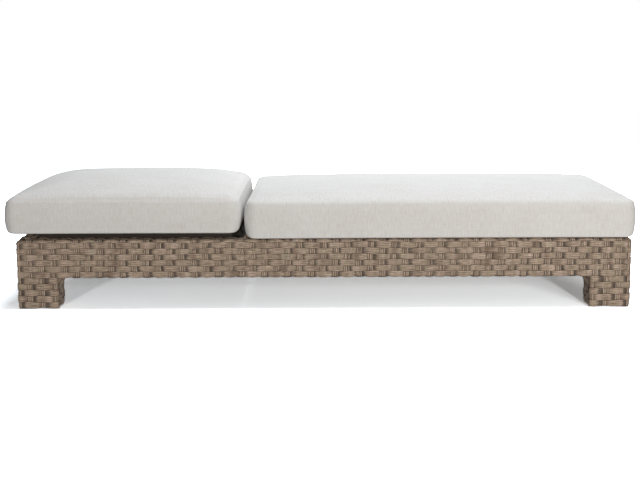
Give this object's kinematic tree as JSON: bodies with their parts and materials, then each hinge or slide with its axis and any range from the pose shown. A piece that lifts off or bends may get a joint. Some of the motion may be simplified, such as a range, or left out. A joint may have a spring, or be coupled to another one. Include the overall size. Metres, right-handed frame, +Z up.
{
  "type": "chaise longue",
  "caption": "Low woven outdoor chaise longue with block legs, two thick loose cushions and a backrest that reclines on a notched prop.",
  "frame": {"origin": "On the floor, under the middle of the object's whole length and width.", "axes": "+X from the head end to the foot end, +Y across it towards the left side of a person lying on it, +Z up."},
  "size_m": [2.086, 0.76, 0.4103],
  "materials": {
    "wicker": "matte",
    "frame_tube": "satin",
    "cushion_fabric": "matte",
    "steel": "satin",
    "bumper_rubber": "matte",
    "glide_plastic": "matte"
  },
  "bodies": {
    "frame": {"right_top_rail": "frame_tube", "left_top_rail": "frame_tube", "right_bottom_rail": "frame_tube", "left_bottom_rail": "frame_tube", "head_top_rail": "frame_tube", "foot_top_rail": "frame_tube", "head_bottom_rail": "frame_tube", "foot_bottom_rail": "frame_tube", "corner_posts": "frame_tube", "side_struts": "frame_tube", "deck_cross_tubes": "frame_tube", "hinge_cross_tube": "frame_tube", "stop_cross_tube": "frame_tube", "rack_bearers": "frame_tube", "head_right_leg_frame": "frame_tube", "head_left_leg_frame": "frame_tube", "foot_right_leg_frame": "frame_tube", "foot_left_leg_frame": "frame_tube", "head_right_leg_weave": "wicker", "head_left_leg_weave": "wicker", "foot_right_leg_weave": "wicker", "foot_left_leg_weave": "wicker", "right_rail_weave": "wicker", "left_rail_weave": "wicker", "head_rail_weave": "wicker", "foot_rail_weave": "wicker", "seat_deck_weave": "wicker", "leg_glides": "glide_plastic", "hinge_ears": "frame_tube", "hinge_pins": "steel", "backrest_bumpers": "bumper_rubber", "right_rack": "steel", "left_rack": "steel", "rack_screws": "steel", "seat_cushion": "cushion_fabric"},
    "backrest": {"backrest_right_tube": "frame_tube", "backrest_left_tube": "frame_tube", "backrest_hinge_tube": "frame_tube", "backrest_head_tube": "frame_tube", "backrest_prop_tube": "frame_tube", "backrest_brace_tube": "frame_tube", "backrest_hinge_lugs": "frame_tube", "prop_pivot_plates": "frame_tube", "prop_pivot_bolts": "steel", "backrest_weave": "wicker"},
    "prop": {"prop_right_arm": "steel", "prop_left_arm": "steel", "prop_foot_bar": "steel"},
    "loose_back_cushion": {"back_cushion": "cushion_fabric"}
  },
  "joints": [
    {"name": "recline", "type": "hinge", "parent": "frame", "child": "backrest", "pos_m": [-0.269, 0, 0.234], "axis": [0, 1, 0], "range_deg": [0, 60]},
    {"name": "prop_swing", "type": "hinge", "parent": "backrest", "child": "prop", "pos_m": [-0.569, 0, 0.234], "axis": [0, 1, 0], "range_deg": [-120, 0]},
    {"name": "back_cushion_slide", "type": "slide", "parent": "backrest", "child": "loose_back_cushion", "axis": [-1, 0, 0], "range_m": [0, 0.096]}
  ],
  "couplings": [
    {"joint": "prop_swing", "follows": "recline", "ratio": -2},
    {"joint": "back_cushion_slide", "follows": "recline", "m_per_rad": 0.091}
  ]
}
